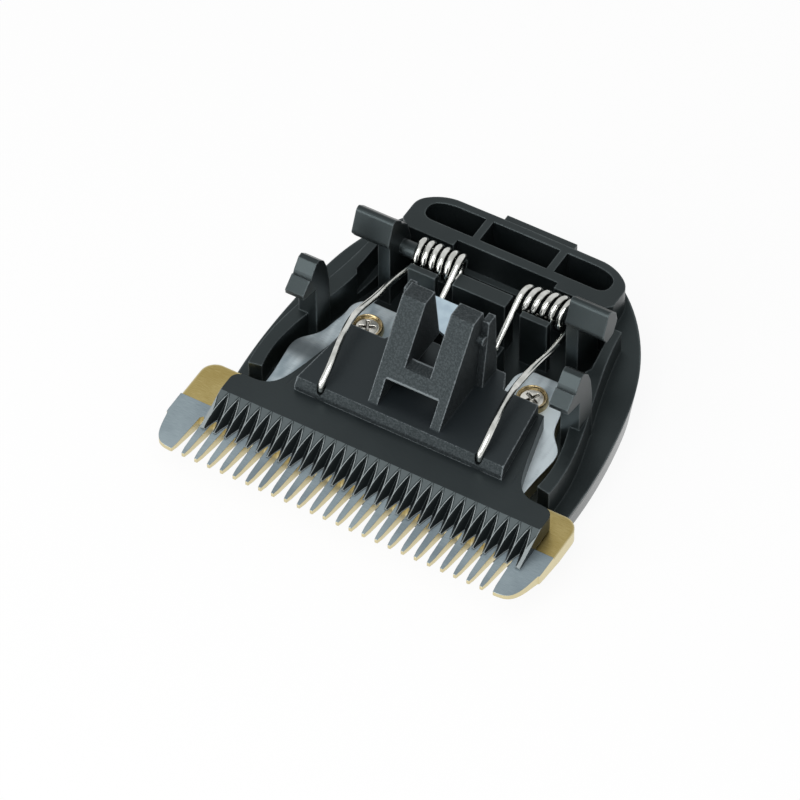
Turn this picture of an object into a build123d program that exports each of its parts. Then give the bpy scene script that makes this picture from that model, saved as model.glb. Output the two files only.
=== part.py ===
# Hair clipper blade head: fixed comb blade, sliding cutter on a drive yoke, two springs, base and cover.
# Millimetres. X runs along the teeth, Y from the tooth tips to the rear, Z up from the blade's ground face.
# Each piece is drawn with Y = 0 at the tips and Z = 0 on that face, then moved to the part's own origin.
import os
from math import cos, hypot, radians, sin, sqrt, tan

from build123d import *

# Fixed blade
fixed_thick = 2.0
fixed_pitch = 1.6
fixed_gap_count = 25
fixed_gap_depth = 5.6
fixed_half_width = 23.1
tip_thick = 0.55
bevel_rear = 8.5
relief_front = 7.25
relief_depth = 0.35
wing_rear = 13.1
wing_corner = 1.8
neck_half_width = 16.4

# Screws, washers and the blade's screw tabs
screw_x = 10.3
screw_y = 25.2
shank_radius = 1.0
shank_length = 4.6
screw_clearance = 0.2
head_high = 1.1
head_radius = 1.6
washer_thick = 0.4
washer_radius = 1.95
tab_half_width = 3.4
tab_past_screw = 3.8
tab_corner = 2.0

# Sliding cutter
rest_offset = 1.1
cutter_pitch = 1.334
cutter_gap_count = 29
cutter_low = 0.05
cutter_top = 2.15
cutter_tip = 4.0
cutter_root = 8.3
cutter_tip_thick = 0.25
cutter_half_width = 19.75
wheel_radius = 8.0
wheel_angle = 36
wheel_bite = 0.65

# Drive yoke
deck_top = 3.8
deck_front = 12.2
deck_half_width = 12.85
deck_screw_gap = 1.05
fork_top = 13.8
fork_half_width = 4.4
fork_lean = 7.4
fork_crest = 2.0
fork_back_lean = 1.3
slot_half_width = 1.55
slot_floor = 7.8
tunnel_roof = 6.3
tunnel_half_width = 3.25
crossbar_deep = 1.7
peg_x = 8.0
peg_y = 17.0
peg_radius = 1.2

# Springs
coil_tab_gap = 5.1
coil_fork_gap = 9.9
coil_z = 4.8
coil_radius = 1.55
coil_turns = 5.6
wire_radius = 0.33
coil_inner_x = 4.0
coil_outer_x = 9.4
hook_inset = 3.08

# Base
wall_thick = 1.6
wall_half_width = 18.7
latch_x = 15.2
latch_wide = 2.3
latch_front = 20.0
latch_top = 10.15
ear_inner = 11.0
ear_outer = 15.7
ear_top = 10.3
pillar_wide = 1.5
strip_top = 4.8
strip_deep = 6.2
strip_half_width = 13.2
strip_wall = 0.95
divider_x = 4.65
divider_thick = 0.9
pocket_floor = -1.5
rear_tab_reach = 2.55
rear_tab_half_width = 4.4

# Cover
shell_deep = 7.0
shell_half_width = 20.8
shell_taper = 0.15
shell_corner = 1.4
cover_wall = 1.15
cover_floor = 1.2
lip_thick = 0.5
rim_middle = -2.2
seam_gap = 0.05

# Places that follow from the sizes above
floor_top = -fixed_thick
cover_bottom = -shell_deep
base_low = cover_bottom + cover_floor
foot = floor_top - 0.4
tab_inner = screw_x - tab_half_width
tab_outer = screw_x + tab_half_width
tab_rear = screw_y + tab_past_screw
deck_rear = screw_y - washer_radius - deck_screw_gap
fork_foot = deck_front + 1.3
crest_front = fork_foot + fork_lean
crest_rear = crest_front + fork_crest
fork_rear = crest_rear + fork_back_lean
coil_y = max(tab_rear + coil_tab_gap, fork_rear + coil_fork_gap)
hook_x = deck_half_width - hook_inset
hook_y = deck_front + 0.35
strip_front = coil_y + coil_radius + wire_radius + 1.02
strip_rear = strip_front + strip_deep
head_length = strip_rear + rear_tab_reach
strip_low = pocket_floor - cover_floor
through = 60


def both(piece):
    return piece + mirror(piece, Plane.YZ)


def from_outline(edges, low, high):
    half = make_face(edges)
    return extrude(Pos(0, 0, low) * (half + mirror(half, Plane.YZ)), high - low)


def side_profile(points, x_low, x_high, corner=0):
    face = make_face(Polyline(*points, close=True))
    if corner:
        face = fillet(face.vertices(), corner)
    return extrude(Pos(x_low, 0, 0) * (Plane.YZ * face), x_high - x_low)


def slab(x_low, x_high, y_low, y_high, z_low, z_high):
    box = Box(x_high - x_low, y_high - y_low, z_high - z_low, align=(Align.MIN, Align.MIN, Align.MIN))
    return Pos(x_low, y_low, z_low) * box


def upright(x, y, z_low, radius, high):
    return Pos(x, y, z_low) * Cylinder(radius, high, align=(Align.CENTER, Align.CENTER, Align.MIN))


def shield(grow):
    # Right half of the shield outline, seen from above, grown outwards.
    wide = shell_half_width + grow
    near = relief_front - grow
    far = strip_rear + grow
    corner = (strip_half_width + 2.5 + grow * 0.75, strip_rear - 4.8 + grow * 0.66)
    side = Spline((wide - 0.3, wing_rear - 1.6), (wide, wing_rear + 4.9), (wide - 0.9, coil_y - 6.1),
                  (wide - 2.3, coil_y - 0.5), corner, (8.5, far + 0.4))
    front = Spline((0, near), (12, near + 0.2), side @ 0, tangents=((1, 0), (0, 1)))
    rear = Polyline(side @ 1, (0, far + 0.7), front @ 0)
    return [front, side, rear]


def under_rim(piece, drop):
    # Keeps what lies below the shell's rim, which climbs towards the rear in a curve.
    z = rim_middle - drop
    curve = Spline((-2, z - 2.7), (wing_rear + 6.9, z), (coil_y - 2.1, z + 1.7), (strip_rear - 2.3, z + 3.9),
                   (through, z + 10))
    area = make_face([curve, Polyline(curve @ 1, (through, -through), (-2, -through), curve @ 0)])
    return piece & extrude(Pos(-through, 0, 0) * (Plane.YZ * area), 2 * through)


# Fixed blade: wings, neck and screw tabs from one outline, a pattern of tooth gaps and a ground relief
tip_half_width = fixed_gap_count / 2 * fixed_pitch - 0.1
wing_reach = fixed_half_width - tip_half_width
wing = Spline((tip_half_width, 0), (fixed_half_width - 0.5 * wing_reach, 0.35),
              (fixed_half_width - 0.2 * wing_reach, 2.0), (fixed_half_width - 0.05 * wing_reach, 4.2),
              (fixed_half_width, 6.5), tangents=((1, 0), (0, 1)))
wing_end = Polyline(wing @ 1, (fixed_half_width, wing_rear), (neck_half_width - 0.4, wing_rear))
neck_rear = screw_y - 5.0
neck = Spline(wing_end @ 1, (neck_half_width, wing_rear + 0.69 * (neck_rear - wing_rear)),
              (neck_half_width - 0.1, neck_rear), (tab_outer + 1.0, screw_y - 2.9),
              (tab_outer + 0.3, screw_y - 0.4), (tab_outer, screw_y + 1.4), tangents=((0, 1), (0, 1)))
tab = Polyline(neck @ 1, (tab_outer, tab_rear), (tab_inner, tab_rear), (tab_inner, screw_y - 1.2),
               (0, screw_y - 1.2), (0, 0), (tip_half_width, 0))
fixed_blade = from_outline([wing, wing_end, neck, tab], -fixed_thick, 0)
round_corners = [((fixed_half_width, wing_rear), wing_corner), ((tab_outer, tab_rear), tab_corner),
                 ((tab_inner, tab_rear), tab_corner), ((tab_inner, screw_y - 1.2), tab_corner / 2)]
for (x, y), radius in round_corners:
    for side in (-1, 1):
        corner = fixed_blade.edges().filter_by(Axis.Z).sort_by_distance((side * x, y, -fixed_thick / 2))[0]
        fixed_blade = fillet(corner, radius)
gap_end = fixed_gap_depth - 0.3
gap_face = make_face(Polyline((-0.68, -0.3), (-0.5, 0.9), (-0.27, gap_end), (0, fixed_gap_depth),
                              (0.27, gap_end), (0.5, 0.9), (0.68, -0.3), close=True))
gap = extrude(Pos(0, 0, -through / 2) * gap_face, through)
gap_places = [(n - (fixed_gap_count - 1) / 2) * fixed_pitch for n in range(fixed_gap_count)]
fixed_blade -= [Pos(x, 0, 0) * gap for x in gap_places]
fixed_blade -= slab(-through, through, relief_front, wing_rear + 0.1, -relief_depth, 1)
bevel = [(-0.1, -tip_thick), (bevel_rear, -fixed_thick), (bevel_rear, -through), (-0.1, -through)]
fixed_blade -= side_profile(bevel, -through, through)
hole_radius = shank_radius + screw_clearance
fixed_blade -= [upright(s * screw_x, screw_y, -through / 2, hole_radius, through) for s in (-1, 1)]

# Sliding cutter: wedge section, rounded ends and waist
cutter_rear = deck_rear + 0.2
wedge = [(cutter_tip, cutter_low), (cutter_tip, cutter_low + cutter_tip_thick), (cutter_root, cutter_top),
         (cutter_rear, cutter_top), (cutter_rear, cutter_low)]
end_edge = Line((cutter_half_width, cutter_tip - 1), (cutter_half_width, cutter_root + 1.7))
shoulder = Spline(end_edge @ 1, (cutter_half_width - 1.15, deck_front - 0.9),
                  (deck_half_width + 4.2, deck_front - 0.8), (deck_half_width + 2.0, deck_front + 0.7),
                  (deck_half_width + 0.9, deck_front + 3.8), (deck_half_width - 0.6, cutter_rear),
                  tangents=((0, 1), (-0.15, 1)))
close_edges = Polyline(shoulder @ 1, (0, cutter_rear), (0, cutter_tip - 1), end_edge @ 0)
moving_blade = side_profile(wedge, -through, through)
moving_blade = moving_blade & from_outline([end_edge, shoulder, close_edges], -1, 5)

# Its tooth gaps: a V-edged grinding wheel sinks along an arc from the root line to below the tips
start_y, start_z = cutter_root - 0.1, cutter_top
end_y, end_z = cutter_tip, cutter_low - wheel_bite
chord = hypot(start_y - end_y, start_z - end_z)
rise = sqrt(wheel_radius ** 2 - (chord / 2) ** 2) / chord
wheel_y = (start_y + end_y) / 2 - rise * (start_z - end_z)
wheel_z = (start_z + end_z) / 2 + rise * (start_y - end_y)
edge_high = 2.2
edge_half = edge_high * tan(radians(wheel_angle))
wheel_edge = make_face(Polyline((0, -wheel_radius), (edge_half, edge_high - wheel_radius),
                                (-edge_half, edge_high - wheel_radius), close=True))
spindle = Axis((0, wheel_y, wheel_z), (1, 0, 0))
wheel = revolve(Pos(0, wheel_y, wheel_z) * (Plane.XZ * wheel_edge), spindle, 70)
groove_places = [(n - (cutter_gap_count - 1) / 2) * cutter_pitch for n in range(cutter_gap_count)]
moving_blade -= [Pos(x, 0, 0) * wheel for x in groove_places]
moving_blade -= [upright(s * peg_x, peg_y, -1, peg_radius, 5) for s in (-1, 1)]

# Yoke: deck, H-shaped fork with its slot and tunnel, rear ribs, spring holes and staking pegs
neck_out, neck_in = fork_half_width + 3.0, fork_half_width + 2.0
neck_back = fork_rear + 0.2
deck_edges = Polyline((0, deck_front), (deck_half_width, deck_front), (deck_half_width - 1.2, deck_rear),
                      (neck_out, deck_rear), (neck_in, neck_back), (0, neck_back), (0, deck_front))
deck = from_outline(deck_edges, cutter_top, deck_top)
front_edge = deck.edges().filter_by(Axis.X).group_by(Axis.Y)[0].sort_by(Axis.Z)[-1]
deck = chamfer(front_edge, 1.0, 0.5)
wedge = [(fork_foot, deck_top), (crest_front, fork_top), (crest_rear, fork_top), (fork_rear, deck_top)]
fork = side_profile(wedge, -fork_half_width, fork_half_width)
fork -= slab(-slot_half_width, slot_half_width, 0, through, slot_floor, through)
fork -= slab(-tunnel_half_width, tunnel_half_width, 0, through, deck_top, tunnel_roof)
face_lean = fork_lean / (fork_top - deck_top)
bar_back = fork_foot + crossbar_deep
bar_over = slot_floor + 1
behind_bar = [(bar_back, deck_top), (bar_back + face_lean * (bar_over - deck_top), bar_over),
              (through, bar_over), (through, deck_top)]
fork -= side_profile(behind_bar, -slot_half_width, slot_half_width)
rib_top = fork_top - 1.1
rib = side_profile([(crest_rear - 1.6, deck_top), (crest_rear - 0.2, rib_top), (fork_rear - 0.1, rib_top),
                    (neck_back, deck_top)], fork_half_width, fork_half_width + 0.85)
side_peg = Pos(fork_half_width, crest_rear - 1.0, fork_top - 3.2) * Rot(0, 90, 0) * Cylinder(0.55, 1.6)
yoke = deck + fork + both(rib) + both(side_peg)
yoke += [upright(s * peg_x, peg_y, cutter_top - 1.6, peg_radius, 1.7) for s in (-1, 1)]
yoke -= [upright(s * hook_x, hook_y + 0.2, deck_top - 1.2, wire_radius + 0.17, 2) for s in (-1, 1)]

# Springs: one wire each, from the arm on the base round the coil to the arm that hooks into the yoke
rest_y, rest_z = coil_y - 5.9, coil_z - 2.8


def torsion_spring(side):
    turn_start = 129
    turn_end = turn_start - 360 * coil_turns
    steps = 48
    coil = []
    for n in range(steps + 1):
        share = n / steps
        angle = radians(turn_start + (turn_end - turn_start) * share)
        x = coil_inner_x + (coil_outer_x - coil_inner_x) * share
        coil.append((side * x, coil_y + coil_radius * cos(angle), coil_z + coil_radius * sin(angle)))
    end_x = side * hook_x + rest_offset
    bend_x = side * (hook_x + 0.33) + rest_offset * 0.5
    inner_arm = [(side * coil_inner_x, rest_y, rest_z), (side * coil_inner_x, coil_y - 3.4, coil_z - 0.75)]
    outer_arm = [(side * (coil_outer_x + 0.15), coil_y - 3.1, coil_z - 1.3),
                 (bend_x, (coil_y + hook_y) / 2 - 1.7, coil_z + 1.1),
                 (end_x, hook_y + 1.5, deck_top + 0.95), (end_x, hook_y + 0.3, deck_top + 0.1),
                 (end_x, hook_y + 0.2, deck_top - 0.7)]
    path = Spline(*inner_arm, *coil, *outer_arm)
    return sweep(Plane(path @ 0, z_dir=path % 0) * Circle(wire_radius), path)


right_spring = torsion_spring(1)
left_spring = torsion_spring(-1)


# Screws with a cross recess, and their washers
def screw(side):
    head = fillet(Cylinder(head_radius, head_high).edges().group_by(Axis.Z)[-1], 0.4 * head_high)
    body = Pos(side * screw_x, screw_y, washer_thick + head_high / 2) * head
    body += upright(side * screw_x, screw_y, washer_thick - shank_length, shank_radius, shank_length)
    wide, narrow = head_radius * 1.06, head_radius * 0.26
    cross = Box(wide, narrow, head_high) + Box(narrow, wide, head_high)
    return body - Pos(side * screw_x, screw_y, washer_thick + head_high) * cross


def washer(side):
    ring = upright(side * screw_x, screw_y, 0, washer_radius, washer_thick)
    return ring - upright(side * screw_x, screw_y, -1, shank_radius + 0.15, 3)


# Shell body shared by the base's lip and the cover: the shield outline drawn in towards the underside
def shell_face(height):
    half = make_face(shield(shell_taper * (height - rim_middle)))
    return Pos(0, 0, height) * (half + mirror(half, Plane.YZ))


shell = loft([shell_face(cover_bottom), shell_face(fork_top)], ruled=True)
shell = fillet(shell.edges().group_by(Axis.Z)[0], shell_corner)

# Base: shield floor with a lip over the cover's rim, and the well that holds the fixed blade
floor_body = under_rim(from_outline(shield(-cover_wall - seam_gap), base_low, strip_top), 0)
well_half_width = neck_half_width + 0.6
well_front = relief_front - 2.3
well_rear = strip_front + 0.2
well_side = Spline((well_half_width, well_front), (well_half_width, wing_rear + 6.9),
                   (tab_outer + 1.3, coil_y - 6.1), (strip_half_width + 0.2, coil_y),
                   (strip_half_width + 0.2, well_rear))
well_back = Polyline(well_side @ 1, (0, well_rear), (0, well_front), well_side @ 0)
well = from_outline([well_side, well_back], floor_top, through)
seat_front = relief_front + cover_wall + 0.2
seat_half_width = well_half_width + 0.5
seat_side = Spline((0, seat_front), (11, seat_front + 0.2), (seat_half_width, wing_rear - 0.6),
                   tangents=((1, 0), (0, 1)))
seat_rear = screw_y - 3.2
seat_back = Polyline(seat_side @ 1, (seat_half_width, seat_rear), (0, seat_rear), seat_side @ 0)
blade_seat = from_outline([seat_side, seat_back], base_low, floor_top)
base = floor_body + (under_rim(shell, 0) - under_rim(shell, lip_thick)) - well + blade_seat

# Ring walls beside the blade, broader where they pass the screw tabs
wall_in = wall_half_width - wall_thick
wall_rear = coil_y + 2.1
wall_outer = Spline((wall_half_width, wing_rear + 0.9), (wall_half_width - 0.1, wing_rear + 6.9),
                    (tab_outer + 3.0, coil_y - 6.1), (tab_outer + 1.9, coil_y - 1.1),
                    (tab_outer + 1.5, wall_rear))
wall_inner = Spline((wall_in, wing_rear + 1.2), (wall_in - 0.1, wing_rear + 6.9),
                    (tab_outer + 1.6, coil_y - 8.3), (tab_outer + 0.6, coil_y - 4.3))
wall_steps = Polyline(wall_inner @ 1, (tab_outer + 1.0, coil_y - 3.7), (tab_outer + 0.4, wall_rear),
                      wall_outer @ 1)
wall_face = make_face([wall_outer, wall_steps, wall_inner, Line(wall_inner @ 0, wall_outer @ 0)])
wall = extrude(Pos(0, 0, base_low) * wall_face, through / 4)
wall_cut = Plane(origin=(0, 14, 0.9), x_dir=(1, 0, 0), z_dir=(0, -0.11, 1))
wall = split(wall, bisect_by=wall_cut, keep=Keep.BOTTOM)

# Front latches with two noses, and rear ears on their pillars
y, z = latch_front, latch_top
noses = [(y + 2.7, base_low), (y + 2.7, z - 3.8), (y + 0.1, z - 3.2), (y, z - 2.55), (y + 1.45, z - 1.4),
         (y + 1.7, z - 1.6), (y + 1.95, z - 1.1), (y + 2.9, z - 0.05), (y + 3.5, z)]
back = [(y + 4.4, z - 0.9), (y + 5.0, z - 2.4), (y + 5.4, z - 4.8), (y + 5.7, base_low)]
latch = side_profile(noses + back, latch_x, latch_x + latch_wide)
y, z = coil_y - 3.1, ear_top
ear = side_profile([(y, z - 2.9), (y + 1.1, z - 0.3), (y + 1.6, z), (y + 2.8, z - 1.2), (y + 3.1, z - 2.6),
                    (y + 2.2, z - 4.1), (y + 0.8, z - 4.2)], ear_inner, ear_outer, 0.45)
post = [(y + 0.3, foot), (y + 0.3, z - 3), (y + 1.2, z - 0.7), (y + 2.7, z - 1.4), (y + 4.1, z - 2.8),
        (y + 4.9, coil_z), (y + 4.9, foot)]
pillar = side_profile(post, ear_inner, ear_inner + pillar_wide)
base += both(wall + latch + ear + pillar)

# Spring mandrels, stubs, rests and the cross ledge
mandrel_end = coil_inner_x + 0.2
mandrel_radius = coil_radius - wire_radius - 0.27
mandrel_long = ear_inner + 0.2 - mandrel_end
mandrel = Pos(mandrel_end, coil_y, coil_z) * Rot(0, 90, 0) * upright(0, 0, 0, mandrel_radius, mandrel_long)
stub = slab(coil_inner_x + 1.3, coil_inner_x + 4.7, coil_y - 2.9, coil_y - 2.1, foot, coil_z + 0.5)
rest_top = rest_z - wire_radius - 0.01
spring_rest = slab(coil_inner_x - 0.6, coil_inner_x + 0.6, rest_y - 0.6, rest_y + 1.0, foot, rest_top)
base += both(mandrel + stub + spring_rest)
base += slab(0.7 - coil_inner_x, coil_inner_x - 0.7, coil_y - 2.6, coil_y - 0.7, foot, coil_z + 0.45)

# Rear strip: one long round-ended pocket with two dividers, and the tab behind it
notch = strip_front + 0.9
strip_end = Spline((strip_half_width, strip_front + 3.0), (strip_half_width - 1.0, strip_rear - 1.3),
                   (strip_half_width - 4.0, strip_rear - 0.1), tangents=((0, 1), (-1, 0.1)))
strip_edge = Polyline((0, notch), (6.3, notch), (6.3, strip_front), (strip_half_width - 0.9, strip_front),
                      (strip_half_width, strip_front + 0.9), strip_end @ 0)
strip = from_outline([strip_edge, strip_end, Polyline(strip_end @ 1, (0, strip_rear), (0, notch))],
                     strip_low, strip_top)
pocket_front, pocket_rear = notch + 1.2, strip_rear - strip_wall
pocket_end = Spline((strip_half_width - 2.9, pocket_front), (strip_half_width - 1.65, pocket_front + 1.2),
                    (strip_half_width - 4.4, pocket_rear - 0.05), tangents=((1, 0.1), (-1, 0.1)))
pocket = from_outline([Line((0, pocket_front), pocket_end @ 0), pocket_end,
                       Polyline(pocket_end @ 1, (0, pocket_rear), (0, pocket_front))], pocket_floor, through)
divider = slab(divider_x - divider_thick / 2, divider_x + divider_thick / 2, 0, through, -through, strip_top)
base += strip
base -= pocket - both(divider)
tab_low = rim_middle + 3.7
base += slab(-rear_tab_half_width, rear_tab_half_width, strip_rear - 0.2, head_length, tab_low, tab_low + 1)

# Post for the keeper plate, and holes for the screws
keeper_z = rest_z + 2.1
base += slab(0.9 - coil_inner_x, 2.9 - coil_inner_x, rest_y - 2.6, rest_y + 0.4, foot, keeper_z)
screw_low = washer_thick - shank_length - 0.1
base -= [upright(s * screw_x, screw_y, screw_low, shank_radius, shank_length) for s in (-1, 1)]

# Cover: open tray below the lip, with a notch at the rear where the strip comes down
cover = under_rim(shell, lip_thick + seam_gap) - from_outline(shield(-cover_wall), base_low, through)
notch_side = strip_half_width + seam_gap
cover -= slab(-notch_side, notch_side, strip_front, through, strip_low - seam_gap, through)

# Bright keeper plate behind the fork
keeper_left, keeper_right = -coil_inner_x - 0.7, 4.2 - coil_inner_x
keeper_front, keeper_back = rest_y - 3.0, rest_y + 1.6
keeper_curve = ThreePointArc((keeper_right, keeper_front), (keeper_left + 1.9, keeper_front + 1.2),
                             (keeper_left, keeper_back))
keeper_back_edges = Polyline(keeper_curve @ 1, (keeper_right, keeper_back), keeper_curve @ 0)
keeper_face = make_face([keeper_curve, keeper_back_edges])
spring_keeper = Pos(0, 0, keeper_z) * extrude(keeper_face, 0.4)

pieces = {
    "cover": cover,
    "base": base,
    "fixed_blade": fixed_blade,
    "moving_blade": Pos(rest_offset, 0, 0) * moving_blade,
    "yoke": Pos(rest_offset, 0, 0) * yoke,
    "left_spring": left_spring,
    "right_spring": right_spring,
    "left_screw": screw(-1),
    "right_screw": screw(1),
    "left_washer": washer(-1),
    "right_washer": washer(1),
    "spring_keeper": spring_keeper,
}
os.makedirs("parts", exist_ok=True)
for name, piece in pieces.items():
    export_step(Pos(0, -head_length / 2, shell_deep) * piece, "parts/" + name + ".step")
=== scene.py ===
import bpy
import numpy as np
from mathutils import Matrix, Vector


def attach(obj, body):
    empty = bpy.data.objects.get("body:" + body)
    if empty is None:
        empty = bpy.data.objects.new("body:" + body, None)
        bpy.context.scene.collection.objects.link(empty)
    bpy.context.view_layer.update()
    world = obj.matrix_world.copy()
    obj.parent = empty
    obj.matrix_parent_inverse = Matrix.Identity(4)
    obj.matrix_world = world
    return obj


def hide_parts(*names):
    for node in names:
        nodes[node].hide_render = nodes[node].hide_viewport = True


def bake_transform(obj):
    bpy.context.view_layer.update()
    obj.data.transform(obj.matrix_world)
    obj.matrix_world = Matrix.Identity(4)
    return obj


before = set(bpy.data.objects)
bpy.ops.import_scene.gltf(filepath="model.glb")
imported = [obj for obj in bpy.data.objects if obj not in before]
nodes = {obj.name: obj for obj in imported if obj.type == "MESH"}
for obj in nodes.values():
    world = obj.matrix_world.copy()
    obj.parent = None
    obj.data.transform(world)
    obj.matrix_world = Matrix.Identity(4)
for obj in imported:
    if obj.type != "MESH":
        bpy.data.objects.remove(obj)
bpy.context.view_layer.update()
scene = bpy.context.scene
mm = 0.001
bothSides = (("left", -1), ("right", 1))

# where the drawing's zero, the tooth tips on the ground face, stands in the part's own frame
drawing = {"tipY": -22.875, "landZ": 7.0, "restOffset": 1.1}
origin = np.array([0, drawing["tipY"], drawing["landZ"]])


class Wire:
    # one output socket that takes part in sums
    def __init__(self, shader, socket):
        self.shader = shader
        self.socket = socket

    def calc(self, operation, first, second=0.0):
        return self.shader.node("ShaderNodeMath", {"operation": operation}, {0: first, 1: second})

    def __add__(self, other):
        return self.calc("ADD", self, other)

    def __radd__(self, other):
        return self.calc("ADD", other, self)

    def __sub__(self, other):
        return self.calc("SUBTRACT", self, other)

    def __rsub__(self, other):
        return self.calc("SUBTRACT", other, self)

    def __mul__(self, other):
        return self.calc("MULTIPLY", self, other)

    def __gt__(self, other):
        return self.calc("GREATER_THAN", self, other)

    def __lt__(self, other):
        return self.calc("LESS_THAN", self, other)

    def size(self):
        return self.calc("ABSOLUTE", self)

    def root(self):
        return self.calc("SQRT", self)

    def fold(self, reach):
        # distance to the nearest even multiple of the reach
        return self.calc("PINGPONG", self, reach)

    def meanWith(self, other, share):
        # weighted mean, with this share of the other
        return self * (1 - share) + other * share


class Finish:
    # the nodes of one material, or of the world
    def __init__(self, owner):
        self.owner = owner
        owner.use_nodes = True
        self.tree = owner.node_tree
        self.tree.nodes.clear()

    def node(self, kind, settings=None, sockets=None, output=0):
        made = self.tree.nodes.new(kind)
        for key, value in (settings or {}).items():
            setattr(made, key, value)
        for key, value in (sockets or {}).items():
            if isinstance(value, Wire):
                self.tree.links.new(value.socket, made.inputs[key])
            else:
                made.inputs[key].default_value = value
        return Wire(self, made.outputs[output]) if made.outputs else None

    def place(self):
        # object coordinates in millimetres
        here = self.node("ShaderNodeTexCoord", output=3)
        return self.node("ShaderNodeVectorMath", {"operation": "SCALE"}, {0: here, "Scale": 1 / mm})

    def facing(self):
        # the face's own direction, before softening
        return self.node("ShaderNodeNewGeometry", output=3)

    def axis(self, vector, which):
        return self.node("ShaderNodeSeparateXYZ", sockets={0: vector}, output=which)

    def beside(self, p):
        # distance across from the cutter's middle at rest
        return self.axis(p, 0) - drawing["restOffset"]

    def along(self, p):
        # distance from the tooth tips towards the rear
        return self.axis(p, 1) - drawing["tipY"]

    def high(self, p):
        # height above the ground face
        return self.axis(p, 2) - drawing["landZ"]

    def noise(self, vector, scale, detail=2.0, rough=0.5):
        sockets = {"Vector": vector, "Scale": scale, "Detail": detail, "Roughness": rough}
        return self.node("ShaderNodeTexNoise", {"noise_dimensions": "3D"}, sockets)

    def drawnNoise(self, vector, stretch, scale, detail=2.0):
        # noise drawn out into streaks: a smaller stretch gives longer streaks along that axis
        sockets = {"Vector": vector, "Scale": stretch}
        return self.noise(self.node("ShaderNodeMapping", {"vector_type": "POINT"}, sockets), scale, detail)

    def ramp(self, value, low, high):
        # smooth step from 0 at low to 1 at high
        sockets = {"Value": value, "From Min": low, "From Max": high}
        return self.node("ShaderNodeMapRange", {"interpolation_type": "SMOOTHSTEP", "clamp": True}, sockets)

    def mix(self, share, first, second):
        sockets = {0: share, 6: first, 7: second}
        return self.node("ShaderNodeMix", {"data_type": "RGBA", "clamp_factor": True}, sockets, output=2)

    def soften(self, radius):
        # rounds the look of the edges by this many millimetres
        return self.node("ShaderNodeBevel", {"samples": 4}, {"Radius": radius * mm})

    def outerEdges(self, reach):
        # share of the inward rays that meet the skin again within this many millimetres, so only outer edges count
        settings = {"samples": 8, "inside": True, "only_local": True}
        return 1 - self.node("ShaderNodeAmbientOcclusion", settings, {"Distance": reach * mm}, output=1)

    def clearance(self, reach):
        # share of the outward rays that stay clear of the piece itself for this many millimetres
        settings = {"samples": 8, "only_local": True}
        return self.node("ShaderNodeAmbientOcclusion", settings, {"Distance": reach * mm}, output=1)

    def bump(self, height, distance, strength, normal):
        sockets = {"Height": height, "Distance": distance * mm, "Strength": strength, "Normal": normal}
        return self.node("ShaderNodeBump", sockets=sockets)

    def seen(self):
        # 1 for rays from the camera, a mirror or a clear piece, 0 for rays that only gather light
        camera, mirror, through = [self.node("ShaderNodeLightPath", output=which) for which in (0, 3, 6)]
        return camera + mirror + through

    def close(self, sockets):
        surface = self.node("ShaderNodeBsdfPrincipled", sockets=sockets)
        self.node("ShaderNodeOutputMaterial", sockets={"Surface": surface})
        return self.owner


def newFinish(name):
    return Finish(bpy.data.materials.new(name))


def dress(name, material):
    materials = nodes[name].data.materials
    materials.clear()
    materials.append(material)


# black moulded plastic of the base, and the cover's smoother skin
baseLook = {"dark": (0.0040, 0.0055, 0.0060, 1), "light": (0.0072, 0.0092, 0.0098, 1),
            "wornSheen": (0.066, 0.078, 0.081, 1), "tint": (0.80, 0.97, 1.0, 1), "specular": 0.5, "edge": 0.20,
            "cloudScale": 0.22, "cloudDetail": 3.0, "cloudRange": (0.35, 0.7), "grainScale": 7.0,
            "wearReach": 0.3, "wearCloud": 0.5, "wearGrain": 0.4, "wearRange": (0.2, 0.6),
            "bumpDeep": 0.02, "bumpStrength": 0.3,
            "baseRough": 0.28, "coverRough": 0.17, "roughCloud": 0.08, "roughGrain": 0.06}


def blackMoulding(name, leastRough):
    look = baseLook
    f = newFinish(name)
    p = f.place()
    cloud = f.noise(p, look["cloudScale"], look["cloudDetail"])
    grain = f.noise(p, look["grainScale"])
    colour = f.mix(f.ramp(cloud, *look["cloudRange"]), look["dark"], look["light"])
    # lighter outer edges, partly wear and partly painted highlight, more or less of it as both noises rise or fall from
    # their means of a half
    wearSheen = f.outerEdges(look["wearReach"]) + cloud * look["wearCloud"] + grain * look["wearGrain"]
    wearSheen = wearSheen - (look["wearCloud"] + look["wearGrain"]) / 2
    colour = f.mix(f.ramp(wearSheen, *look["wearRange"]), colour, look["wornSheen"])
    normal = f.bump(grain, look["bumpDeep"], look["bumpStrength"], f.soften(look["edge"]))
    rough = leastRough + cloud * look["roughCloud"] + grain * look["roughGrain"]
    return f.close({"Base Color": colour, "Roughness": rough, "Normal": normal,
                    "Specular IOR Level": look["specular"], "Specular Tint": look["tint"]})


dress("base", blackMoulding("black_moulding", baseLook["baseRough"]))
dress("cover", blackMoulding("black_cover", baseLook["coverRough"]))
print("base and cover dressed")
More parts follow.
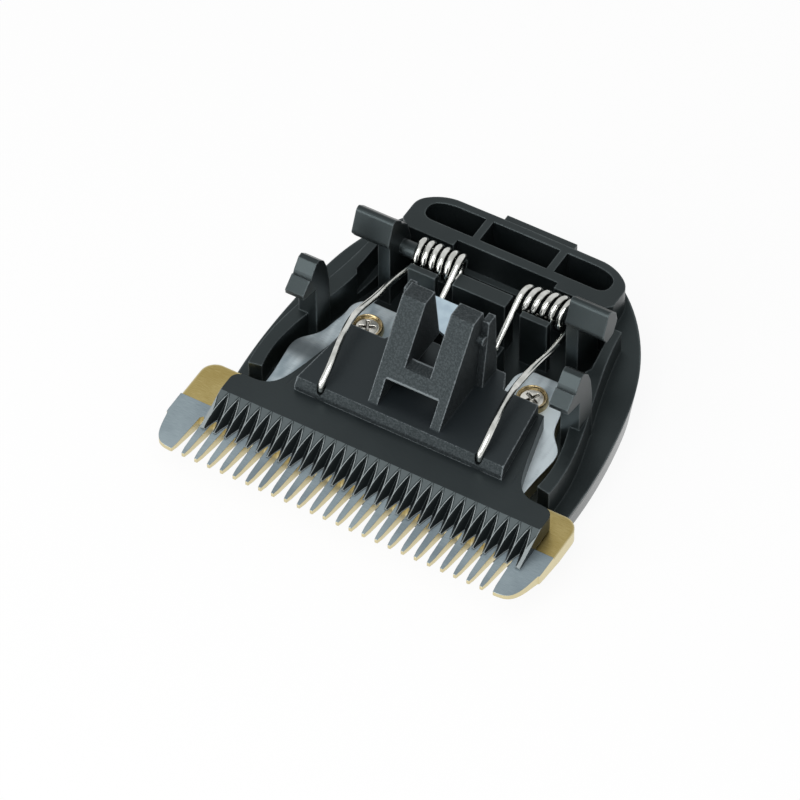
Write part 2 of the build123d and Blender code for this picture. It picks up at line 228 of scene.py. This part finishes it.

# gold-coated plate with bare ground lands; painted highlight on its upright gold sides and outer edges, painted light
# on the neck lands, and a painted shade patch in front of the left screw
plateLook = {"steelDark": (0.20, 0.25, 0.28, 1), "steelLight": (0.33, 0.40, 0.43, 1),
             "litNeckDark": (0.30, 0.37, 0.41, 1), "litNeckLight": (0.74, 0.83, 0.87, 1),
             "neckShade": (0.095, 0.115, 0.125, 1), "gold": (0.38, 0.29, 0.10, 1),
             "goldLight": (0.54, 0.445, 0.20, 1), "goldSideSheen": (0.70, 0.62, 0.38, 1), "edge": 0.12,
             "landLevel": -0.03, "uprightRange": (0.8, 0.5), "hazeScale": 0.16,
             "lineStretch": (0.35, 9.0, 1.0), "lineScale": 3.0, "lineDetail": 3.0,
             "streakStretch": (0.9, 0.35, 1.0), "streakScale": 0.55,
             "frontLines": 0.4, "frontRange": (0.36, 0.64), "neckLines": 0.2, "litNeckTilt": 0.006,
             "neckRange": (0.34, 0.58), "litNeckStart": (11.0, 14.0),
             "shadePatchLines": 1.2, "shadePatchRear": (23.0, 20.4), "shadePatchFront": (17.0, 19.0), "shadePatchAcross": (-9.5, -12.5),
             "shadePatchShare": 0.85, "goldLines": 0.5, "goldRange": (0.38, 0.62),
             "sideReach": 0.3, "sideUpright": 0.5, "sideRange": (0.1, 0.5),
             "rough": 0.30, "roughLines": 0.14, "roughLand": 0.08, "bumpDeep": 0.006, "bumpStrength": 0.25,
             "landMatt": 0.25}


def coatedPlate():
    look = plateLook
    f = newFinish("coated_plate")
    p = f.place()
    across, along = f.axis(p, 0), f.along(p)
    land = f.high(p) > look["landLevel"]
    upright = f.ramp(f.axis(f.facing(), 2).size(), *look["uprightRange"])
    lines = f.drawnNoise(p, look["lineStretch"], look["lineScale"], look["lineDetail"])
    haze = f.noise(p, look["hazeScale"])
    streak = f.drawnNoise(p, look["streakStretch"], look["streakScale"])
    front = f.ramp(haze.meanWith(lines, look["frontLines"]), *look["frontRange"])
    front = f.mix(front, look["steelDark"], look["steelLight"])
    # painted light: the neck lands are much lighter than the front lands and lighter towards the right, with random
    # streaks in them
    litNeck = f.ramp(streak.meanWith(lines, look["neckLines"]) + across * look["litNeckTilt"], *look["neckRange"])
    litNeck = f.mix(litNeck, look["litNeckDark"], look["litNeckLight"])
    # painted shade: a darker patch on the neck lands in front of the left screw
    shadePatch = f.ramp(along + lines * look["shadePatchLines"], *look["shadePatchRear"]) * f.ramp(along, *look["shadePatchFront"])
    shadePatch = shadePatch * f.ramp(across, *look["shadePatchAcross"])
    litNeck = f.mix(shadePatch * look["shadePatchShare"], litNeck, look["neckShade"])
    steel = f.mix(f.ramp(along, *look["litNeckStart"]), front, litNeck)
    gold = f.ramp(haze.meanWith(lines, look["goldLines"]), *look["goldRange"])
    gold = f.mix(gold, look["gold"], look["goldLight"])
    # painted highlight: the gold turns paler on upright sides and outer edges
    sideSheen = f.ramp(f.outerEdges(look["sideReach"]) + upright * look["sideUpright"], *look["sideRange"])
    gold = f.mix(sideSheen, gold, look["goldSideSheen"])
    rough = look["rough"] + lines * look["roughLines"] + land * look["roughLand"]
    normal = f.bump(lines, look["bumpDeep"], look["bumpStrength"], f.soften(look["edge"]))
    return f.close({"Base Color": f.mix(land, gold, steel), "Metallic": 1.0 - land * look["landMatt"],
                    "Roughness": rough, "Normal": normal})


dress("fixed_blade", coatedPlate())
print("fixed blade dressed")

# black-coated cutter whose tooth slopes are ground a little brighter, with painted shade in the grooves and painted
# highlight along the tooth edges
cutterLook = {"dark": (0.0050, 0.0066, 0.0075, 1), "light": (0.0095, 0.0120, 0.0130, 1),
              "ground": (0.060, 0.071, 0.074, 1), "groundLow": (0.018, 0.022, 0.024, 1),
              "grooveShade": (0.0022, 0.0028, 0.0032, 1), "wornSheen": (0.24, 0.265, 0.27, 1),
              "tint": (0.80, 0.97, 1.0, 1), "specular": 0.45, "edge": 0.09,
              "lineStretch": (0.4, 6.0, 1.0), "lineScale": 2.5, "lineDetail": 3.0, "hazeScale": 0.12,
              "coatLines": 0.4, "coatRange": (0.35, 0.65), "toothRear": 8.6,
              "pitch": 1.334, "wheelRadius": 8.0, "wheelY": 1.939, "wheelZ": 7.130, "wheelSlope": 0.7265,
              "slopeRange": (0.985, 0.95), "flankRange": (0.12, 0.3), "lowRange": (5.4, 7.4),
              "lineNear": (0.08, 0.11), "lineFar": (0.21, 0.17), "glintFar": (0.10, 0.07), "glintRear": (8.0, 7.6),
              "wearReach": 0.13, "wearRange": (0.14, 0.40),
              "rough": 0.30, "roughLines": 0.12, "bumpDeep": 0.005, "bumpStrength": 0.25}


def coatedCutter():
    look = cutterLook
    f = newFinish("coated_cutter")
    p = f.place()
    along = f.along(p)
    teeth = along < look["toothRear"]
    lines = f.drawnNoise(p, look["lineStretch"], look["lineScale"], look["lineDetail"])
    haze = f.noise(p, look["hazeScale"])
    facing = f.facing()
    sloped = f.ramp(f.axis(facing, 2), *look["slopeRange"])
    flank = f.ramp(f.axis(facing, 0).size(), *look["flankRange"])
    colour = f.mix(f.ramp(haze.meanWith(lines, look["coatLines"]), *look["coatRange"]), look["dark"], look["light"])
    # distance from the grinding wheel's edge on a tooth's slope: a painted highlight line, then a painted shade line
    # beside each groove
    back = along - look["wheelY"]
    down = f.high(p) - look["wheelZ"]
    bite = (look["wheelRadius"] - (back * back + down * down).root()) * look["wheelSlope"]
    edge = f.beside(p).fold(look["pitch"] / 2) - bite
    slope = f.mix(f.ramp(along, *look["lowRange"]), look["groundLow"], look["ground"])
    slope = f.mix(f.ramp(edge, *look["lineNear"]) * f.ramp(edge, *look["lineFar"]), slope, look["grooveShade"])
    slope = f.mix(f.ramp(edge, *look["glintFar"]) * f.ramp(along, *look["glintRear"]), slope, look["wornSheen"])
    colour = f.mix(sloped * teeth, colour, slope)
    # painted shade: the groove flanks of the teeth darker than the coat
    colour = f.mix(flank * teeth, colour, look["grooveShade"])
    # lighter outer tooth edges, partly wear and partly painted highlight
    colour = f.mix(f.ramp(f.outerEdges(look["wearReach"]), *look["wearRange"]) * teeth, colour, look["wornSheen"])
    normal = f.bump(lines, look["bumpDeep"], look["bumpStrength"], f.soften(look["edge"]))
    return f.close({"Base Color": colour, "Roughness": look["rough"] + lines * look["roughLines"], "Normal": normal,
                    "Specular IOR Level": look["specular"], "Specular Tint": look["tint"]})


cutterFinish = coatedCutter()
dress("moving_blade", cutterFinish)
print("cutter dressed")

# spark-textured yoke with a smoother deck, and lighter outer edges, partly wear and partly painted highlight, that stay
# off the area round the holes for the spring wire
yokeLook = {"dark": (0.0035, 0.0046, 0.0054, 1), "light": (0.027, 0.0315, 0.034, 1),
            "deck": (0.0052, 0.0070, 0.0086, 1), "wornSheen": (0.16, 0.18, 0.19, 1), "tint": (0.80, 0.96, 1.0, 1),
            "specular": 0.45, "edge": 0.2, "deckZ": 3.8, "deckRange": (0.06, 0.02),
            "sparkScale": 4.6, "sparkDetail": 4.0, "sparkRough": 0.7, "sparkRange": (0.42, 0.64), "fineScale": 13.0,
            "holeX": 9.77, "holeY": 12.75, "holeRange": (0.5, 1.1),
            "wearReach": 0.28, "wearSparks": 0.8, "wearRange": (0.2, 0.5),
            "bumpFine": 0.3, "bumpDeck": 0.85, "bumpDeep": 0.11, "bumpStrength": 0.8, "rough": 0.56, "roughDeck": 0.16}


def sparkYoke():
    look = yokeLook
    f = newFinish("spark_yoke")
    p = f.place()
    deck = f.ramp((f.high(p) - look["deckZ"]).size(), *look["deckRange"])
    sparks = f.noise(p, look["sparkScale"], look["sparkDetail"], look["sparkRough"])
    fine = f.noise(p, look["fineScale"])
    colour = f.mix(f.ramp(sparks, *look["sparkRange"]), look["dark"], look["light"])
    colour = f.mix(deck, colour, look["deck"])
    across = f.beside(p).size() - look["holeX"]
    along = f.along(p) - look["holeY"]
    clear = f.ramp(across * across + along * along, *look["holeRange"])
    # lighter outer edges, partly wear and partly painted highlight
    wearSheen = f.outerEdges(look["wearReach"]) + sparks * look["wearSparks"] - look["wearSparks"] / 2
    colour = f.mix(f.ramp(wearSheen, *look["wearRange"]) * clear, colour, look["wornSheen"])
    height = sparks.meanWith(fine, look["bumpFine"]) * (1 - deck * look["bumpDeck"])
    normal = f.bump(height, look["bumpDeep"], look["bumpStrength"], f.soften(look["edge"]))
    return f.close({"Base Color": colour, "Roughness": look["rough"] - deck * look["roughDeck"], "Normal": normal,
                    "Specular IOR Level": look["specular"], "Specular Tint": look["tint"]})


dress("yoke", sparkYoke())
print("yoke dressed")

# bright metals, each with its darker and lighter tone and its least roughness; painted shade darkens them where the
# piece is hollow
metalTones = {"nickel": ((0.62, 0.61, 0.56, 1), (0.82, 0.81, 0.76, 1), 0.20),
              "brass": ((0.34, 0.265, 0.13, 1), (0.56, 0.46, 0.28, 1), 0.22),
              "wire": ((0.56, 0.57, 0.54, 1), (0.78, 0.79, 0.76, 1), 0.10),
              "pad": ((0.46, 0.58, 0.67, 1), (0.56, 0.69, 0.77, 1), 0.40)}
metalLook = {"hollowShade": (0.035, 0.032, 0.026, 1), "hollowShadeReach": 0.5, "hollowShadeRange": (0.45, 0.92), "edge": 0.06,
             "hazeScale": 0.9, "hazeDetail": 3.0, "hazeRange": (0.3, 0.7), "fineScale": 8.0,
             "bumpDeep": 0.004, "bumpStrength": 0.12, "roughHaze": 0.1}


def brightMetal(name):
    look = metalLook
    dark, light, leastRough = metalTones[name]
    f = newFinish("bright_" + name)
    p = f.place()
    haze = f.noise(p, look["hazeScale"], look["hazeDetail"])
    fine = f.noise(p, look["fineScale"])
    colour = f.mix(f.ramp(haze, *look["hazeRange"]), dark, light)
    # painted shade in the hollows
    colour = f.mix(f.ramp(f.clearance(look["hollowShadeReach"]), *look["hollowShadeRange"]), look["hollowShade"], colour)
    normal = f.bump(fine, look["bumpDeep"], look["bumpStrength"], f.soften(look["edge"]))
    return f.close({"Base Color": colour, "Metallic": 1.0, "Roughness": leastRough + haze * look["roughHaze"],
                    "Normal": normal})


dress("spring_keeper", brightMetal("pad"))
print("keeper plate dressed")


def put(name, data):
    made = bpy.data.objects.new(name, data)
    scene.collection.objects.link(made)
    return made


def gridMesh(name, points, material, ends=None, smooth=True):
    # rows of points, each closed on itself; the outer rows close to the two ends, or else the last row joins the first
    rows, around = points.shape[:2]
    verts = points.reshape(-1, 3)
    low, here = np.meshgrid(np.arange(rows if ends is None else rows - 1), np.arange(around), indexing="ij")
    high, after = (low + 1) % rows, (here + 1) % around
    quads = np.stack([low * around + here, high * around + here, high * around + after, low * around + after], -1)
    faces = quads.reshape(-1, 4).tolist()
    if ends is not None:
        here, after = here[0], after[0]
        top = np.full(around, rows * around)
        last = (rows - 1) * around
        verts = np.concatenate([verts, ends])
        faces += np.stack([top, here, after], -1).tolist()
        faces += np.stack([top + 1, last + after, last + here], -1).tolist()
    mesh = bpy.data.meshes.new(name)
    mesh.from_pydata((verts * mm).tolist(), [], faces)
    mesh.polygons.foreach_set("use_smooth", np.full(len(faces), smooth))
    mesh.update()
    mesh.materials.append(material)
    return put(name, mesh)


def smoothStep(value):
    value = np.clip(value, 0, 1)
    return value * value * (3 - 2 * value)


def turnedRows(radii, heights, spokes):
    # the profile's radius and height swept round the axis
    angle = np.linspace(0, 2 * np.pi, spokes, endpoint=False)
    flat = radii[:, None] * np.ones(spokes)
    return np.stack([flat * np.cos(angle), flat * np.sin(angle), heights[:, None] * np.ones(spokes)], -1)


# screws with a low crowned head and a cross recess, each in a raised brass cup washer
screwShape = {"x": 10.3, "y": 25.2, "radius": 1.37, "top": 0.60, "under": 0.05, "shank": 1.0, "end": -4.2,
              "crown": 0.09, "round": 0.12, "tight": 0.02, "faceSteps": 52, "rimSteps": 8, "spokes": 144,
              "recessReach": 0.92, "recessHalf": 0.17, "recessSoft": 0.12, "recessDeep": 0.45, "recessRise": 0.6,
              "leftTurn": 25.0, "rightTurn": 62.0}
cupShape = {"middle": 1.61, "half": 0.25, "high": 0.80, "foot": 0.03, "archSteps": 19, "spokes": 72}


def recessArm(wide, far):
    # 1 inside one bar of the cross, with soft sides and ends
    s = screwShape
    sides = smoothStep((s["recessHalf"] - wide) / s["recessSoft"] + 0.5)
    return sides * smoothStep((s["recessReach"] - far) / s["recessSoft"] + 0.5)


def screwPoints(turn):
    # crowned top, rounded rim, side, underside and shank; a cross is pressed into the top, shallower towards its ends
    s = screwShape
    face, head, tight, shank, under = s["faceSteps"], s["faceSteps"] + s["rimSteps"], s["tight"], s["shank"], s["under"]
    rim = np.linspace(0, np.pi / 2, s["rimSteps"])
    inner = s["radius"] - s["round"]
    radii = np.concatenate([np.linspace(tight, inner - tight, face), inner + s["round"] * np.sin(rim),
                            [s["radius"], s["radius"], s["radius"] - tight, shank + tight, shank, shank,
                             shank, shank - tight, tight]])
    heights = np.concatenate([np.full(face, s["top"]), s["top"] - s["round"] + s["round"] * np.cos(rim),
                              [under + 2 * tight, under + tight, under, under, under - tight,
                               under - 3 * tight, s["end"] + tight, s["end"], s["end"]]])
    heights[:head] -= s["crown"] * (radii[:head] / s["radius"]) ** 2
    points = turnedRows(radii, heights, s["spokes"])
    c, n = np.cos(np.radians(turn)), np.sin(np.radians(turn))
    one = np.abs(points[:face, :, 0] * c + points[:face, :, 1] * n)
    two = np.abs(points[:face, :, 1] * c - points[:face, :, 0] * n)
    cross = np.maximum(recessArm(one, two), recessArm(two, one))
    points[:face, :, 2] -= cross * s["recessDeep"] * (1 - s["recessRise"] * np.hypot(one, two) / s["recessReach"])
    return points


def cupPoints():
    # half an ellipse swept round the axis, flat underneath
    s = cupShape
    t = np.concatenate([np.linspace(0, np.pi, s["archSteps"]), [np.pi, 0]])
    radii = s["middle"] + s["half"] * np.cos(t)
    heights = s["high"] * np.sin(t) + s["foot"]
    heights[-2:] = 0.0
    return turnedRows(radii[::-1], heights[::-1], s["spokes"])


nickelFinish = brightMetal("nickel")
brassFinish = brightMetal("brass")
for word, side in bothSides:
    axis = np.array([side * screwShape["x"], screwShape["y"], 0]) + origin
    points = screwPoints(screwShape[word + "Turn"]) + axis
    screw = gridMesh(word + "_screw_head", points, nickelFinish, points[[0, -1]].mean(1))
    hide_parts(word + "_screw")
    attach(screw, "housing")
    cup = gridMesh(word + "_cup_washer", cupPoints() + axis, brassFinish)
    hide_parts(word + "_washer")
    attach(cup, "housing")
print("screws turned")

# webs that fill the cutter's waist on both sides, up to its top face; stations give along, inner edge and outer edge
waistShape = {"low": 0.06, "top": 2.149, "steps": 48,
              "stations": [(12.2, 13.80, 13.97), (13.1, 13.62, 13.97), (14.6, 13.36, 13.88), (15.8, 13.17, 13.80),
                           (16.3, 13.09, 13.70), (18.0, 12.82, 13.30), (20.0, 12.51, 12.80), (22.3, 12.15, 12.27)]}


def waistPoints(side):
    # a four-cornered section carried along the stations, turned over on the left so that its faces look outwards
    s = waistShape
    along, inner, outer = np.array(s["stations"]).T
    y = np.linspace(along[0], along[-1], s["steps"])
    near, far = np.interp(y, along, inner), np.interp(y, along, outer)
    across = side * np.stack([near, far, far, near], -1)[:, ::side] + drawing["restOffset"]
    high = np.array([s["low"], s["low"], s["top"], s["top"]])[::side] * np.ones_like(across)
    return np.stack([across, y[:, None] * np.ones_like(across), high], -1) + origin


for word, side in bothSides:
    points = waistPoints(side)
    web = gridMesh(word + "_waist_web", points, cutterFinish, points[[0, -1]].mean(1), smooth=False)
    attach(web, "cutter")
print("waist webs made")

# springs: a round wire carried along inner arm, coil, outer arm and hook
springShape = {"wire": 0.385, "wireSteps": 16, "wireTip": 0.5, "coilRadius": 1.55, "coilY": 34.1, "coilZ": 4.8,
               "coilShift": 0.27, "coilSteps": 340, "startAngle": 129.0, "endAngle": -1887.0,
               "innerX": 4.0, "innerEnd": (28.2, 2.0), "innerSteps": 24,
               "leftOuterX": 9.4, "rightOuterX": 9.85, "leftLean": 0.0, "rightLean": 0.18,
               "leftArm": [(-9.8, 31.0, 3.5), (-9.8, 26.2, 4.8), (-9.8, 21.4, 6.1)],
               "rightArm": [(10.2, 29.7, 4.0), (10.2, 25.3, 5.2), (10.2, 20.9, 5.75)], "armSteps": 100,
               "hookX": 9.82, "hookY": 12.55, "hook": [(1.5, 4.75), (0.3, 3.9), (0.2, 3.1)],
               "bendFrom": 27.45, "bendTo": 13.0, "bendZ": 4.8}
# a direction that no stretch of wire runs along, to start the rings from
offWire = np.array([0.31, 0.17, 0.93])


def hermite(points, count):
    # smooth cubic through the points, with a point's slope taken from its two neighbours
    points = np.asarray(points, float)
    lengths = np.concatenate([[0], np.cumsum(np.linalg.norm(np.diff(points, axis=0), axis=1))])
    slopes = np.gradient(points, lengths, axis=0)
    t = np.linspace(0, lengths[-1], count)
    span = np.clip(np.searchsorted(lengths, t, side="right") - 1, 0, len(points) - 2)
    gap = (lengths[span + 1] - lengths[span])[:, None]
    u = (t - lengths[span])[:, None] / gap
    low = (2 * u ** 3 - 3 * u ** 2 + 1) * points[span] + (u ** 3 - 2 * u ** 2 + u) * gap * slopes[span]
    high = (3 * u ** 2 - 2 * u ** 3) * points[span + 1] + (u ** 3 - u ** 2) * gap * slopes[span + 1]
    return low + high


def wireMesh(name, path, material):
    # a ring of points across the wire at each path point; the end rings close to a short tip
    s = springShape
    tangent = np.gradient(path, axis=0)
    tangent /= np.linalg.norm(tangent, axis=1)[:, None]
    side = np.cross(tangent, offWire)
    side /= np.linalg.norm(side, axis=1)[:, None]
    over = np.cross(tangent, side)
    angle = -np.linspace(0, 2 * np.pi, s["wireSteps"], endpoint=False)[None, :, None]
    ring = np.cos(angle) * side[:, None, :] + np.sin(angle) * over[:, None, :]
    tip = s["wire"] * s["wireTip"]
    ends = [path[0] - tangent[0] * tip, path[-1] + tangent[-1] * tip]
    return gridMesh(name, path[:, None, :] + s["wire"] * ring, material, ends)


def springPath(word, side):
    # straight inner arm, then a helix from the inner to the outer end, then a smooth arm down into the hook
    s = springShape
    share = np.linspace(0, 1, s["coilSteps"])
    angle = np.radians(s["startAngle"] + (s["endAngle"] - s["startAngle"]) * share)
    lean = (share * 2 - 1) * s[word + "Lean"]
    coil = np.stack([side * (s["innerX"] + (s[word + "OuterX"] - s["innerX"]) * share) + s["coilShift"],
                     s["coilY"] + s["coilRadius"] * np.cos(angle) + lean,
                     s["coilZ"] + s["coilRadius"] * np.sin(angle) + lean], -1)
    inner = np.linspace([side * s["innerX"], *s["innerEnd"]], coil[0], s["innerSteps"])[:-1]
    endX = side * s["hookX"] + drawing["restOffset"]
    hook = [(endX, s["hookY"] + back, high) for back, high in s["hook"]]
    outer = hermite([coil[-2]] + s[word + "Arm"] + hook, s["armSteps"])[2:]
    return np.concatenate([inner, coil, outer]) + origin


wireFinish = brightMetal("wire")
for word, side in bothSides:
    wire = wireMesh(word + "_spring_wire", springPath(word, side), wireFinish)
    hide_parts(word + "_spring")
    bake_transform(wire)
print("springs wound")

# pale floor and sky that look white and light the part less, and two soft lamps
studio = {"floor": (0.86, 0.86, 0.86, 1), "floorHalf": 1.2, "showThrough": 0.92, "white": (1, 1, 1, 1),
          "sky": (0.8, 0.8, 0.8, 1), "skyLight": 0.42, "skySeen": 1.0, "aim": (0, 0, 0.01),
          "lamps": {"overhead": {"place": (0.08, -0.24, 0.42), "size": (0.30, 0.30), "power": 1.5},
                    "front_left": {"place": (-0.16, -0.42, 0.20), "size": (0.24, 0.38), "power": 1.35}}}


def paleFloor():
    f = newFinish("pale_floor")
    matt = f.node("ShaderNodeBsdfDiffuse", sockets={"Color": studio["floor"]})
    white = f.node("ShaderNodeEmission", sockets={"Color": studio["white"], "Strength": 1.0})
    both = f.node("ShaderNodeMixShader", sockets={0: f.seen() * studio["showThrough"], 1: matt, 2: white})
    f.node("ShaderNodeOutputMaterial", sockets={"Surface": both})
    return f.owner


def paleSky():
    f = Finish(bpy.data.worlds.new("studio"))
    sockets = {"Value": f.seen(), "To Min": studio["skyLight"], "To Max": studio["skySeen"]}
    power = f.node("ShaderNodeMapRange", sockets=sockets)
    sky = f.node("ShaderNodeBackground", sockets={"Color": studio["sky"], "Strength": power})
    f.node("ShaderNodeOutputWorld", sockets={"Surface": sky})
    return f.owner


def softLamp(name, place, size, power):
    light = bpy.data.lights.new(name, "AREA")
    light.shape = "RECTANGLE"
    light.size, light.size_y = size
    light.energy = power
    lamp = put(name, light)
    lamp.location = place
    lamp.rotation_euler = (Vector(studio["aim"]) - Vector(place)).to_track_quat("-Z", "Y").to_euler()


half = studio["floorHalf"]
floorMesh = bpy.data.meshes.new("floor")
floorMesh.from_pydata([(-half, -half, 0), (half, -half, 0), (half, half, 0), (-half, half, 0)], [], [(0, 1, 2, 3)])
floorMesh.materials.append(paleFloor())
floor = put("floor", floorMesh)
scene.world = paleSky()
for name, lamp in studio["lamps"].items():
    softLamp(name, **lamp)

# the photograph's camera: turn round the part, height above the horizon and a small roll, in degrees
view = {"azimuth": 30.516, "elevation": 48.684, "roll": -0.268, "focalPixels": 6000.0, "distance": 640.166,
        "aim": (0.414, 13.964, 5.641), "pictureSize": 800.0, "sensor": 36.0, "farthest": 10.0}


def matchCamera():
    # stands back from the aim along the view line, its right and up axes turned by the roll
    a, e, r = np.radians([view["azimuth"], view["elevation"], view["roll"]])
    back = np.array([np.sin(a) * np.cos(e), -np.cos(a) * np.cos(e), np.sin(e)])
    right = np.array([np.cos(a), np.sin(a), 0.0])
    up = np.cross(back, right)
    right, up = np.cos(r) * right + np.sin(r) * up, np.cos(r) * up - np.sin(r) * right
    turned = np.eye(4)
    turned[:3, :3] = np.stack([right, up, back], -1)
    turned[:3, 3] = (np.array(view["aim"]) + origin + back * view["distance"]) * mm
    lens = bpy.data.cameras.new("photo_camera")
    lens.sensor_fit = "HORIZONTAL"
    lens.sensor_width = view["sensor"]
    lens.lens = view["focalPixels"] / view["pictureSize"] * view["sensor"]
    lens.clip_end = view["farthest"]
    camera = put("photo_camera", lens)
    camera.matrix_world = Matrix(turned.tolist())
    return camera


scene.camera = matchCamera()
scene.view_settings.view_transform = "Standard"
print("studio ready")
